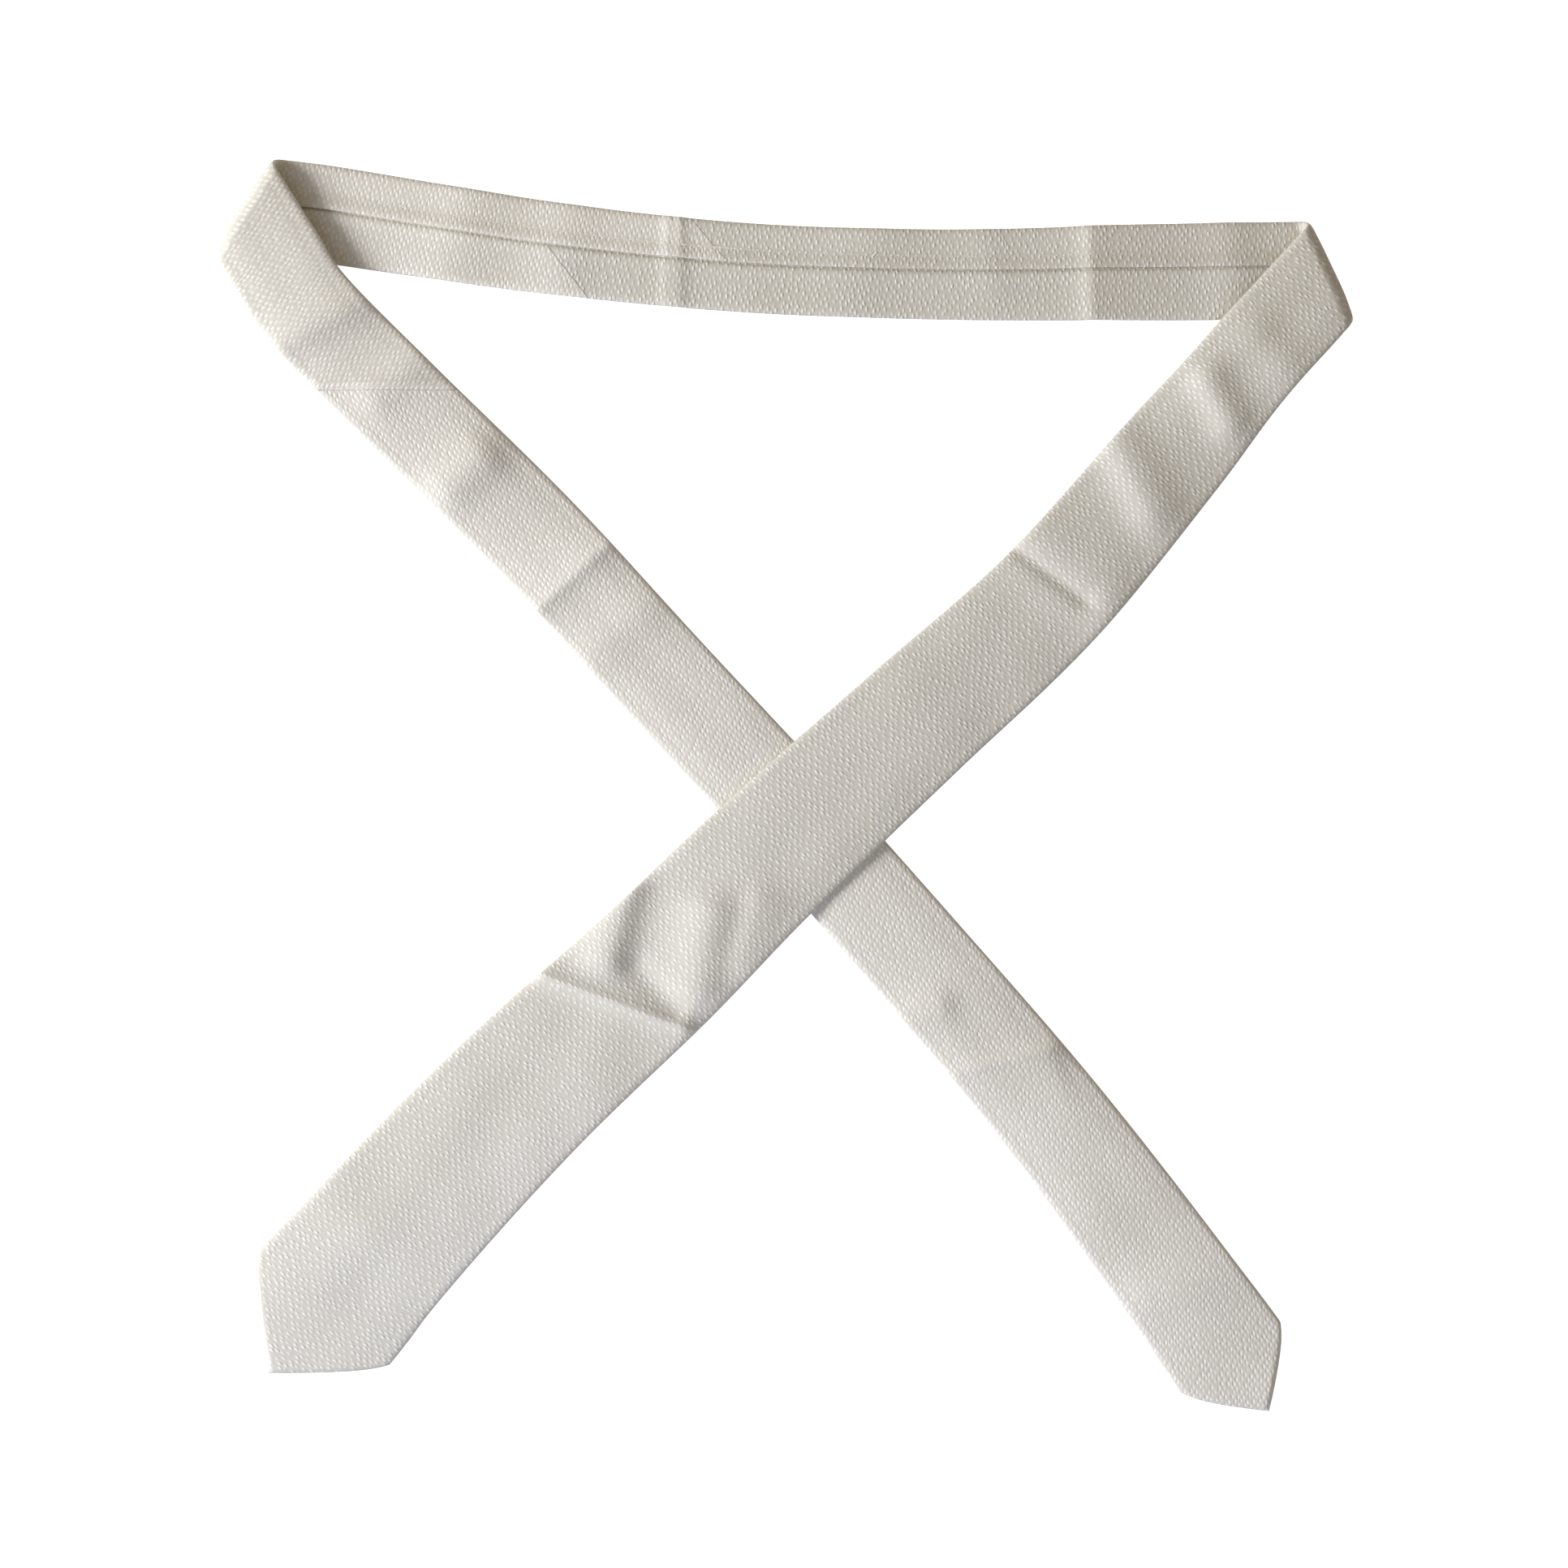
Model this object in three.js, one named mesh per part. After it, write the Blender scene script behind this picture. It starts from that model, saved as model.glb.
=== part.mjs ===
// A slim lined necktie, laid folded with its two legs crossed. Millimetres, +Z up.
// The neckband lies with its reverse side up. At each corner the strip rolls over the
// neckband, and the two legs run down towards -Y and cross, the blade on top.
import * as THREE from 'three';

// Cloth and layers
const clothThickness = 0.4;
const halfThickness = 1.25;          // half of the whole strip, cloth to cloth
const interliningHalf = 0.6;
const threadHalfWidth = 0.3;
const threadLevels = [0.9, 1.2];     // stitches lie between interlining and back wraps
const tackHalf = 0.6;                // a bar tack is a small square of thread
const slitHalfWidth = 0.7;           // where the two wrapped edges meet at the centre back
const joinHalfGap = 0.75;            // room for the join's thread, measured along the strip
const creaseHalfGap = 0.2;           // between two bodies
const rollRadius = 4;                // middle of the cloth in the soft corner rolls
const tippingLevels = [0.25, 0.55];  // the lining lies on the interlining, under the hem

// Corners: middle of the outermost line of each roll, and which way it faces
const rightCorner = { x: 191.7, y: 179.7, facing: 24 };
const leftCorner = { x: -189.2, y: 202.5, facing: 148.1 };

// Routes of the strip's middle: x, y, height of the middle layer
const neckRoute = [
  [-184, 201.7, 1.25], [-150, 198.2, 1.25], [-82, 187.8, 1.25], [-14, 181.1, 1.25],
  [55, 178.7, 1.25], [123, 179.3, 1.25], [187, 179.7, 1.25],
];
const bladeRoute = [
  [163, 147.5, 7.4], [134, 112.7, 3.4], [92.8, 64.8, 2.3], [46.3, 22.1, 4.0], [15, -6.6, 4.7],
  [-15.2, -35.2, 4.6], [-45.2, -65.1, 2.7], [-91.3, -107.9, 1.3], [-134.9, -153.5, 1.25],
  [-180.8, -206.5, 1.25],
];
const tailRoute = [
  [-166, 165.6, 8.2], [-134.7, 133.8, 4.6], [-87.4, 87.1, 1.5], [-42.3, 38, 1.25],
  [3, -11, 1.25], [46.6, -60.3, 1.25], [89.6, -111, 1.25], [129.8, -163.7, 1.25],
  [170, -219.9, 1.25],
];

// Widths: distance along the strip, width
const neckWidths = [[0, 34.2], [70, 33], [150, 31.2], [240, 31.4], [320, 33.6], [400, 34]];
const bladeWidths = [
  [0, 34], [45, 35], [75, 38.5], [115, 41], [240, 46.5], [320, 50.4], [400, 54], [540, 61],
];
const tailWidths = [[0, 34.2], [60, 34.8], [260, 35.6], [380, 37], [470, 40], [560, 43]];

// Places along the legs, measured back from the point
const bladeCreaseFromPoint = 175;
const tailCreaseFromPoint = 155;
const bladeTackFromPoint = 112;
const tailTackFromPoint = 78;
const keeperFromPoint = 226;
const bladePointSlope = 0.91;        // how far the point runs out for each mm of half width
const tailPointSlope = 0.98;
const bladeJoin = 134;               // bias join on the neckband, from its left end
const tailJoin = 77;                 // bias join on the tail leg, from the corner
const keeperHalfLength = 20;
const keeperHalfWidth = 4.5;
const looseEdge = 7;                 // hem of the back wrap beside the point
const chevronLength = 70;            // the point's slope grows over this length
const tippingChevron = 55;           // and over this length on its lining
const tippingHem = 0.6;              // between the lining's edge and the edge of the fold
const tackOverlap = 4;               // bar tack to the top of the opening
const liningStart = 6;               // lining to the top of the opening
const taper = [30, 12];              // where the interlining thins to let the lining in

// Stations: how far apart they are, and how far a roll's slant reaches past the roll
const coarse = 22;
const medium = 20;
const fine = 18;
const finest = 15;
const slantReach = [12, 27];
const pastRoll = 45;                 // first straight station past a roll

const silk = { color: 0xdcd8d0, roughness: 0.62, metalness: 0 };
const lining = { color: 0xe6e2da, roughness: 0.45, metalness: 0 };
const wool = { color: 0xe9e4d6, roughness: 0.95, metalness: 0 };
const thread = { color: 0xd2cdc2, roughness: 0.7, metalness: 0 };

const degrees = Math.PI / 180;
const tie = new THREE.Group();

function widthAt(table, distance) {
  const curve = new THREE.SplineCurve(table.map((row) => new THREE.Vector2(...row)));
  let low = 0;
  let high = 1;
  for (let step = 0; step < 30; step++) {
    const middle = (low + high) / 2;
    if (curve.getPoint(middle).x < distance) low = middle;
    else high = middle;
  }
  return curve.getPoint(low).y;
}

// A corner roll: its facing direction, fold line, tangent line and hinge
function makeCorner({ x, y, facing }, arriving) {
  const out = new THREE.Vector2(Math.cos(facing * degrees), Math.sin(facing * degrees));
  const along = new THREE.Vector2(-out.y, out.x);
  if (arriving.dot(along) < 0) along.negate();
  const slant = arriving.dot(along) / arriving.dot(out);
  const tangent = new THREE.Vector2(x, y).addScaledVector(out, -rollRadius - halfThickness);
  const drift = Math.PI / 2 * rollRadius * slant;
  return {
    out,
    tangent,
    leaving: out.clone().multiplyScalar(-1).addScaledVector(along, slant).normalize(),
    neckPoint: tangent.clone().addScaledVector(along, -drift),
    legPoint: tangent.clone().addScaledVector(along, drift),
    hinge: tangent.clone().addScaledVector(out, Math.PI / 2 * rollRadius),
  };
}

const headingOf = (a, b) => new THREE.Vector2(b[0] - a[0], b[1] - a[1]).normalize();
const right = makeCorner(rightCorner, headingOf(neckRoute[5], neckRoute[6]));
const left = makeCorner(leftCorner, headingOf(neckRoute[1], neckRoute[0]));
const rollHeight = halfThickness + rollRadius;
const legHeight = halfThickness + 2 * rollRadius;
const lead = 30;                     // straight stretch of a route past its corner

// A strip knows its middle curve, its widths and the rolls at its ends
function makeStrip(points, widths, rolls, reverseUp) {
  const spots = points.map((row) => new THREE.Vector3(...row));
  const curve = new THREE.CatmullRomCurve3(spots, false, 'catmullrom', 0.5);
  curve.arcLengthDivisions = 1200;
  return { curve, length: curve.getLength(), widths, rolls, reverseUp };
}

const neckStart = left.neckPoint;
const neckEnd = right.neckPoint;
const outwards = (corner, slant) => corner.clone().addScaledVector(slant, lead);
const neckPoints = [
  [...outwards(neckStart, headingOf(neckRoute[1], neckRoute[0])), halfThickness],
  ...neckRoute.slice(1, -1),
  [...outwards(neckEnd, headingOf(neckRoute[5], neckRoute[6])), halfThickness],
];
const neck = makeStrip(neckPoints, neckWidths, [left, right], true);

function makeLeg(corner, route, widths) {
  const before = corner.legPoint.clone().addScaledVector(corner.leaving, -lead);
  const after = corner.legPoint.clone().addScaledVector(corner.leaving, lead / 2);
  const top = [[...before, legHeight], [...corner.legPoint, legHeight], [...after, legHeight - 0.2]];
  return makeStrip([...top, ...route], widths, [corner], false);
}
const blade = makeLeg(right, bladeRoute, bladeWidths);
const tail = makeLeg(left, tailRoute, tailWidths);
const bladeEnd = blade.length - lead;
const tailEnd = tail.length - lead;
const neckEndAt = neck.length - 2 * lead;

// Where a spot of the cloth lies: s along, v across, n towards the reverse side
function lay(strip, s, v, n) {
  const share = THREE.MathUtils.clamp((s + lead) / strip.length, 0, 1);
  const middle = strip.curve.getPointAt(share);
  const heading = strip.curve.getTangentAt(share);
  const flat = new THREE.Vector2(heading.x, heading.y).normalize();
  const spot = new THREE.Vector2(middle.x - flat.y * v, middle.y + flat.x * v);
  const up = strip.reverseUp ? 1 : -1;
  for (const roll of strip.rolls) {
    const past = spot.clone().sub(roll.tangent).dot(roll.out);
    if (past <= 0) continue;
    const angle = past / rollRadius;
    const reach = rollRadius - n;
    spot.addScaledVector(roll.out, reach * Math.sin(angle) - past);
    return new THREE.Vector3(spot.x, spot.y, rollHeight - up * reach * Math.cos(angle));
  }
  return new THREE.Vector3(spot.x, spot.y, Math.max(middle.z, halfThickness) + up * n);
}

// Stations across the strip. skew slants a station in plan, bias slants it in the cloth,
// and point draws it into a chevron.
const station = (s, skew = 0, bias = 0, point = 0) => ({ s, skew, bias, point });

function evenly(from, to, spacing) {
  const count = Math.max(1, Math.round(Math.abs(to - from) / spacing));
  return Array.from({ length: count + 1 }, (_, i) => from + (to - from) * i / count);
}

// How a station lies parallel to a fold line at arc length s
function slantAt(strip, roll, s) {
  const heading = strip.curve.getTangentAt(THREE.MathUtils.clamp((s + lead) / strip.length, 0, 1));
  const forward = heading.x * roll.out.x + heading.y * roll.out.y;
  const sideways = -heading.y * roll.out.x + heading.x * roll.out.y;
  return { forward, skew: -sideways / forward };
}

// From the outermost line of the roll, down the roll, and out to straight stations
function rollStations(strip, roll, tangentAt, inwards) {
  const { forward, skew } = slantAt(strip, roll, tangentAt);
  const quarter = Math.PI / 2 * rollRadius - creaseHalfGap;
  const stations = evenly(quarter, 0, quarter / 5).map((past) => station(tangentAt + past / forward, skew));
  stations.push(station(tangentAt + inwards * slantReach[0], skew));
  stations.push(station(tangentAt + inwards * slantReach[1], skew / 2));
  return stations;
}

// Round the strip, q runs from the back's middle (-1) over the front (-0.5 to 0.5) to 1.
// Beyond the front it turns the edge, up to 0.7, and then lies on the back.
const frontShare = 0.5;
const edgeShare = 0.7;

function wrapSection(strip, at, q, outer) {
  const width = widthAt(strip.widths, at.s);
  const level = outer ? halfThickness : halfThickness - clothThickness;
  const side = Math.sign(q);
  const share = Math.abs(q);
  const edge = width / 2 - halfThickness;
  if (share <= frontShare) return { v: q * 2 * edge, n: -level, w: q * 2 * edge };
  if (share < edgeShare) {
    const turn = (share - frontShare) / (edgeShare - frontShare) * Math.PI;
    const w = side * (edge + 2 * halfThickness * turn / Math.PI);
    return { v: side * (edge + level * Math.sin(turn)), n: -level * Math.cos(turn), w };
  }
  const inwards = (share - edgeShare) / (1 - edgeShare);
  const back = THREE.MathUtils.lerp(edge, at.backEdge ?? slitHalfWidth, inwards);
  return { v: side * back, n: level, w: side * (width - back) };
}

// A closed solid whose grid of stations and places is laid along a strip
function addSolid(name, finish, strip, stations, places, section) {
  const geometry = new THREE.BoxGeometry(1, 1, 1, stations.length - 1, places.length - 1, 1);
  const position = geometry.getAttribute('position');
  for (let i = 0; i < position.count; i++) {
    const at = stations[Math.round((position.getX(i) + 0.5) * (stations.length - 1))];
    const place = places[Math.round((position.getY(i) + 0.5) * (places.length - 1))];
    const { v, n, w } = section(strip, at, place, position.getZ(i) > 0);
    const s = at.s + at.skew * v + at.bias * (w ?? v) - at.point * Math.abs(v);
    const spot = lay(strip, s, v, n);
    position.setXYZ(i, spot.x, spot.y, spot.z);
  }
  faceOut(geometry);
  geometry.computeVertexNormals();
  const mesh = new THREE.Mesh(geometry, new THREE.MeshStandardMaterial(finish));
  mesh.name = name;
  tie.add(mesh);
}

function faceOut(geometry) {
  const position = geometry.getAttribute('position');
  const index = geometry.getIndex();
  const corner = (k) => new THREE.Vector3().fromBufferAttribute(position, index.getX(k));
  let volume = 0;
  for (let k = 0; k < index.count; k += 3) {
    volume += corner(k).dot(corner(k + 1).cross(corner(k + 2)));
  }
  if (volume > 0) return;
  for (let k = 0; k < index.count; k += 3) {
    const first = index.getX(k);
    index.setX(k, index.getX(k + 1));
    index.setX(k + 1, first);
  }
}

const wrapPlaces = [-1, -0.7, -0.65, -0.6, -0.55, -0.5, 0, 0.5, 0.55, 0.6, 0.65, 0.7, 1];

function addEnvelope(name, strip, stations) {
  addSolid(name, silk, strip, stations, wrapPlaces, wrapSection);
}

function addInterlining(name, strip, stations) {
  addSolid(name, wool, strip, stations, [-1, 0, 1], (_, at, q, outer) => ({
    v: q * (widthAt(strip.widths, at.s) / 2 - halfThickness),
    n: outer ? -interliningHalf : at.backLevel ?? interliningHalf,
  }));
}

function addThread(name, strip, stations) {
  addSolid(name, thread, strip, stations, [-1, 1], (_, at, q, outer) => ({
    v: q * threadHalfWidth,
    n: threadLevels[outer ? 0 : 1],
  }));
}

// The thread of a bias join runs round the strip between the two cloths
function addJoinThread(name, strip, s) {
  const stations = [station(s - threadHalfWidth, 0, 1), station(s + threadHalfWidth, 0, 1)];
  addSolid(name, thread, strip, stations, wrapPlaces, wrapSection);
}

// Stations towards a point. The back opens from the tack to the corners of the point.
function pointStations(strip, from, end, slope, tackAt, spacing) {
  const cornerAt = end - slope * widthAt(strip.widths, end) / 2;
  return evenly(from, end, spacing).map((s) => {
    const point = slope * THREE.MathUtils.clamp((s - end) / chevronLength + 1, 0, 1);
    const open = THREE.MathUtils.clamp((s - tackAt) / (cornerAt - tackAt), 0, 1);
    const widest = widthAt(strip.widths, s) / 2 - looseEdge;
    const backEdge = THREE.MathUtils.lerp(slitHalfWidth, widest, open);
    return { ...station(s, 0, 0, point), backEdge };
  });
}

function shifted(stations, amount) {
  return stations.map((at) => ({ ...at, s: at.s + amount }));
}

function straight(from, to, spacing) {
  return evenly(from, to, spacing).map((s) => station(s));
}

// Stations that turn step by step from straight to the slant of a bias join
function towardsJoin(from, joinAt, steps) {
  const shares = Array.from({ length: steps + 1 }, (_, i) => i / steps);
  return shares.map((share) => station(from + (joinAt - from) * share, 0, share));
}

// Neckband: two cloths meet at the bias join
const neckLeft = rollStations(neck, left, 0, 1);
const neckRight = rollStations(neck, right, neckEndAt, -1).reverse();
const neckTurn = 250;                // past the join, the stations are straight from here on
addEnvelope('neck_cloth', neck, [
  ...neckLeft,
  ...towardsJoin(pastRoll, bladeJoin - joinHalfGap, 5),
]);
addEnvelope('blade_cloth_on_neck', neck, [
  ...towardsJoin(neckTurn, bladeJoin + joinHalfGap, 6).reverse(),
  ...straight(neckTurn + medium, neckEndAt - pastRoll, coarse),
  ...neckRight,
]);
addJoinThread('blade_join_thread', neck, bladeJoin);
const neckMiddle = straight(pastRoll, neckEndAt - pastRoll, coarse);
const neckInside = [...neckLeft, ...neckMiddle, ...neckRight];
addInterlining('neck_interlining', neck, neckInside);
addThread('neck_slip_stitch', neck, neckInside);

// Blade leg
const bladeCrease = bladeEnd - bladeCreaseFromPoint;
const bladeRoll = rollStations(blade, right, 0, 1);
const bladeUpper = [...bladeRoll, ...straight(pastRoll, bladeCrease - creaseHalfGap, coarse)];
addEnvelope('blade_cloth', blade, bladeUpper);
addInterlining('blade_interlining', blade, bladeUpper);
addThread('blade_slip_stitch', blade, bladeUpper);

function addPoint(prefix, strip, creaseAt, end, slope, tackFromPoint) {
  const tackAt = end - tackFromPoint;
  const start = creaseAt + creaseHalfGap;
  const stations = pointStations(strip, start, end, slope, tackAt, fine);
  const liningAt = tackAt + liningStart;
  const thinning = (s) => THREE.MathUtils.smoothstep(s, liningAt - taper[0], liningAt - taper[1]);
  addEnvelope(`${prefix}_point_cloth`, strip, stations);
  const inside = shifted(stations, -1.5).map((at) => ({
    ...at,
    s: Math.max(at.s, start),
    backLevel: interliningHalf * (1 - thinning(at.s)),
  }));
  addInterlining(`${prefix}_point_interlining`, strip, inside);
  addThread(`${prefix}_point_slip_stitch`, strip, straight(start, tackAt - 3, fine));
  const liningStations = shifted([
    ...straight(liningAt, end - chevronLength, fine),
    ...pointStations(strip, end - tippingChevron, end, slope, tackAt, finest),
  ], -3);
  addSolid(`${prefix}_tipping`, lining, strip, liningStations, [-1, 0, 1], (_, at, q, outer) => ({
    v: q * (widthAt(strip.widths, at.s) / 2 - halfThickness - tippingHem),
    n: tippingLevels[outer ? 0 : 1],
  }));
  addTack(`${prefix}_bar_tack`, strip, tackAt + tackOverlap);
}

// A bar of thread across the top of the opening
function addTack(name, strip, s) {
  const stations = [station(s - tackHalf), station(s + tackHalf)];
  addSolid(name, thread, strip, stations, [-1, 1], (_, at, q, outer) => ({
    v: q * tackHalf,
    n: threadLevels[outer ? 0 : 1],
  }));
}

addPoint('blade', blade, bladeCrease, bladeEnd, bladePointSlope, bladeTackFromPoint);

// Keeper loop across the blade's back, and a tack at each end of it
const keeperAt = bladeEnd - keeperFromPoint;
const keeperLevels = [halfThickness + 0.3, halfThickness + 0.7];
function addAcross(name, finish, from, to, halfLength) {
  const stations = straight(keeperAt - halfLength, keeperAt + halfLength, 5);
  addSolid(name, finish, blade, stations, [from, to], (_, at, v, outer) => ({
    v,
    n: keeperLevels[outer ? 1 : 0],
  }));
}
addAcross('keeper_loop', silk, -keeperHalfLength, keeperHalfLength, keeperHalfWidth);
const tackFrom = keeperHalfLength + 0.3;
const tackTo = keeperHalfLength + 1.5;
addAcross('keeper_tack_left', thread, -tackTo, -tackFrom, keeperHalfWidth - 1);
addAcross('keeper_tack_right', thread, tackFrom, tackTo, keeperHalfWidth - 1);

// Tail leg: the neck cloth reaches a little way down it
const tailCrease = tailEnd - tailCreaseFromPoint;
const tailRoll = rollStations(tail, left, 0, 1);
const tailTurn = 175;
addEnvelope('neck_cloth_on_tail', tail, [
  ...tailRoll,
  ...towardsJoin(pastRoll - 3, tailJoin - joinHalfGap, 3),
]);
addEnvelope('tail_cloth', tail, [
  ...towardsJoin(tailTurn, tailJoin + joinHalfGap, 5).reverse(),
  ...straight(tailTurn + medium, tailCrease - creaseHalfGap, medium),
]);
addJoinThread('tail_join_thread', tail, tailJoin);
const tailInside = [...tailRoll, ...straight(pastRoll, tailCrease - creaseHalfGap, coarse)];
addInterlining('tail_interlining', tail, tailInside);
addThread('tail_slip_stitch', tail, tailInside);
addPoint('tail', tail, tailCrease, tailEnd, tailPointSlope, tailTackFromPoint);

export default tie;
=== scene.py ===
import math
import bpy
import numpy as np
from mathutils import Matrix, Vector


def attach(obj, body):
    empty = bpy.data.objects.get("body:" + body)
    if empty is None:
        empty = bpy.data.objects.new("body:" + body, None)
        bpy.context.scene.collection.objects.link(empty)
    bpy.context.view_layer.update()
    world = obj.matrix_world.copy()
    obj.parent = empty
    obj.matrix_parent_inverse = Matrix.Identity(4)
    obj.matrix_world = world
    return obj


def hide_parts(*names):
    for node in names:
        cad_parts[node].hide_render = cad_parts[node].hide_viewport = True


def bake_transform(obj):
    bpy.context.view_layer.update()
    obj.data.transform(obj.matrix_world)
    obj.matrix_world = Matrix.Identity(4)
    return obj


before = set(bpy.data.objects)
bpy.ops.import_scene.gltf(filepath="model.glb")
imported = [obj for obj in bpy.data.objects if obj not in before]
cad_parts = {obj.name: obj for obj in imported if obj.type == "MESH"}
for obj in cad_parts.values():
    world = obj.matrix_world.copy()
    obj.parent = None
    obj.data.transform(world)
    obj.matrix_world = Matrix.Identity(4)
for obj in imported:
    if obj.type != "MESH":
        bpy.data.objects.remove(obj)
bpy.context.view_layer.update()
mm = 0.001

# The laid strip. Routes, corner rolls and widths are in mm, like the pattern.

strip = {
    "half": 1.25,            # half thickness at the edges
    "cloth": 0.36,           # thickness of one layer of cloth
    "edgeFront": 4.2,        # how far in the soft edge starts to round over
    "edgeBack": 2.2,
    "crown": 0.6,            # the front bulges a little over the interlining
    "lap": 0.85,             # extra height where the wraps overlap
    "dip": 0.85,             # how far the lower wrap is drawn in beside the seam
    "bend": 0.36,            # radius of the folded edge of the upper wrap
    "roll": 4.0,             # radius of the corner rolls
    "lead": 30.0,            # straight run of a route past its corner
    "step": 1.3,             # spacing of stations
    "fineStep": 0.55,        # spacing of stations round the rolls
}

corners = {
    "right": {"x": 191.7, "y": 179.7, "facing": 24.0},
    "left": {"x": -189.2, "y": 202.5, "facing": 148.1},
}

neckMiddle = [(-150, 198.2), (-82, 187.8), (-14, 181.1), (55, 178.7), (123, 179.3)]
bladeRoute = [
    (163, 147.5, 7.8), (134, 112.7, 3.9), (92.8, 64.8, 2.8), (46.3, 22.1, 4.5), (15, -6.6, 5.45),
    (-15.2, -35.2, 5.3), (-45.2, -65.1, 3.2), (-91.3, -107.9, 1.9), (-134.9, -153.5, 1.8),
    (-180.8, -206.5, 1.8),
]
tailRoute = [
    (-166, 165.6, 8.5), (-134.7, 133.8, 5.0), (-87.4, 87.1, 2.0), (-42.3, 38, 1.8), (3, -11, 1.8),
    (46.6, -60.3, 1.8), (89.6, -111, 1.8), (129.8, -163.7, 1.8), (170, -219.9, 1.8),
]
neckWidths = [(0, 34.2), (70, 33), (150, 31.2), (240, 31.4), (320, 33.6), (400, 34)]
bladeWidths = [
    (0, 34), (45, 35), (75, 38.5), (115, 41), (240, 46.5), (320, 50.4), (400, 54), (540, 61),
]
tailWidths = [(0, 34.2), (60, 34.8), (260, 35.6), (380, 37), (470, 40), (560, 43)]


def curveThrough(points, perSpan=60):
    # Catmull-Rom through the points, with mirrored end points
    p = np.array(points, float)
    p = np.vstack([2 * p[0] - p[1], p, 2 * p[-1] - p[-2]])
    t = np.linspace(0, 1, perSpan, endpoint=False)[:, None]
    spans = []
    for i in range(1, len(p) - 2):
        a, b, c, d = p[i - 1], p[i], p[i + 1], p[i + 2]
        cubic = 2 * a - 5 * b + 4 * c - d + t * (3 * (b - c) + d - a)
        spans.append(b + 0.5 * t * (c - a + t * cubic))
    return np.vstack(spans + [p[-2:-1]])


def unit(v):
    v = np.asarray(v, float)
    return v / np.linalg.norm(v)


def makeCorner(name, arriving):
    c = corners[name]
    facing = math.radians(c["facing"])
    out = np.array([math.cos(facing), math.sin(facing)])
    along = np.array([-out[1], out[0]])
    along = along if arriving @ along > 0 else -along
    slant = (arriving @ along) / (arriving @ out)
    tangent = np.array([c["x"], c["y"]]) - out * (strip["roll"] + strip["half"])
    drift = math.pi / 2 * strip["roll"] * slant
    return {
        "out": out, "tangent": tangent, "arriving": arriving,
        "leaving": unit(-out + along * slant),
        "neckPoint": tangent - along * drift,
        "legPoint": tangent + along * drift,
        "across": math.pi * strip["roll"] / (arriving @ out),   # cloth used up by the roll
    }


def makeStrip(points, widths, rolls, side, reverseUp):
    curve = curveThrough(points)
    gone = np.concatenate([[0], np.cumsum(np.linalg.norm(np.diff(curve, axis=0), axis=1))])
    heading = np.gradient(curve[:, :2], gone, axis=0)
    heading /= np.linalg.norm(heading, axis=1)[:, None]
    return {
        "s": gone - strip["lead"], "length": gone[-1] - strip["lead"],
        "curve": curve, "heading": heading, "widths": curveThrough(widths), "rolls": rolls,
        "side": side,                           # 1 or -1: which way v counts across the strip
        "up": 1 if reverseUp else -1, "relief": [],
    }


def widthAt(st, s):
    return np.interp(s, st["widths"][:, 0], st["widths"][:, 1])


middle = np.array(neckMiddle, float)
right = makeCorner("right", unit(np.array([187, 179.7]) - middle[-1]))
left = makeCorner("left", unit(np.array([-184, 201.7]) - middle[0]))
flatZ = strip["half"]
legZ = strip["half"] + 2 * strip["roll"]
rollZ = strip["half"] + strip["roll"]


def withZ(point, z):
    return (point[0], point[1], z)


def legPoints(corner, route):
    lead, point, leaving = strip["lead"], corner["legPoint"], corner["leaving"]
    before, after = point - leaving * lead, point + leaving * lead / 2
    return [withZ(before, legZ), withZ(point, legZ), withZ(after, legZ - 0.1)] + route


def neckEnd(corner):
    # the neckband's route runs straight into its corner and past it
    point, way = corner["neckPoint"], corner["arriving"]
    return [withZ(point - way * 12, flatZ), withZ(point + way * strip["lead"], flatZ)]


neckPoints = neckEnd(left)[::-1] + [withZ(p, flatZ) for p in middle] + neckEnd(right)
neck = makeStrip(neckPoints, neckWidths, [left, right], 1, True)
neck["length"] -= strip["lead"]
blade = makeStrip(legPoints(right, bladeRoute), bladeWidths, [right], -1, False)
tail = makeStrip(legPoints(left, tailRoute), tailWidths, [left], 1, False)
lengths = (neck["length"], blade["length"], tail["length"])
print("strips laid: neck %.0f, blade %.0f, tail %.0f mm" % lengths)


def smooth(x):
    x = np.clip(x, 0, 1)
    return x * x * (3 - 2 * x)


def ripple(u, v, seed, length, count=5):
    # a few slow waves over the cloth, from a fixed seed
    rng = np.random.default_rng(seed)
    total = np.zeros_like(u)
    for _ in range(count):
        angle, phase = rng.uniform(0, math.pi), rng.uniform(0, 2 * math.pi)
        k = 2 * math.pi / (length * rng.uniform(0.7, 1.5))
        total += np.sin(k * (u * math.cos(angle) + v * math.sin(angle)) + phase)
    return total / count


def lift(folds, x, y):
    # how far creases and drape raise the cloth above where it would lie
    total = np.zeros_like(x)
    for f in folds:
        (ax, ay), (bx, by) = f["line"]
        size = math.hypot(bx - ax, by - ay)
        tx, ty = (bx - ax) / size, (by - ay) / size
        along = (x - ax) * tx + (y - ay) * ty
        aside = (y - ay) * tx - (x - ax) * ty
        beyond = np.maximum(np.maximum(-along, along - size), 0)
        half = np.where(aside > 0, f["left"], f["right"])
        if f.get("sharp"):
            shape = np.exp(-(np.sqrt(aside * aside + f["sharp"] ** 2) - f["sharp"]) / half)
        else:
            shape = np.exp(-(aside / half) ** 2)
        total += f["height"] * shape * np.exp(-(beyond / f["ends"]) ** 2)
    return total


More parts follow.
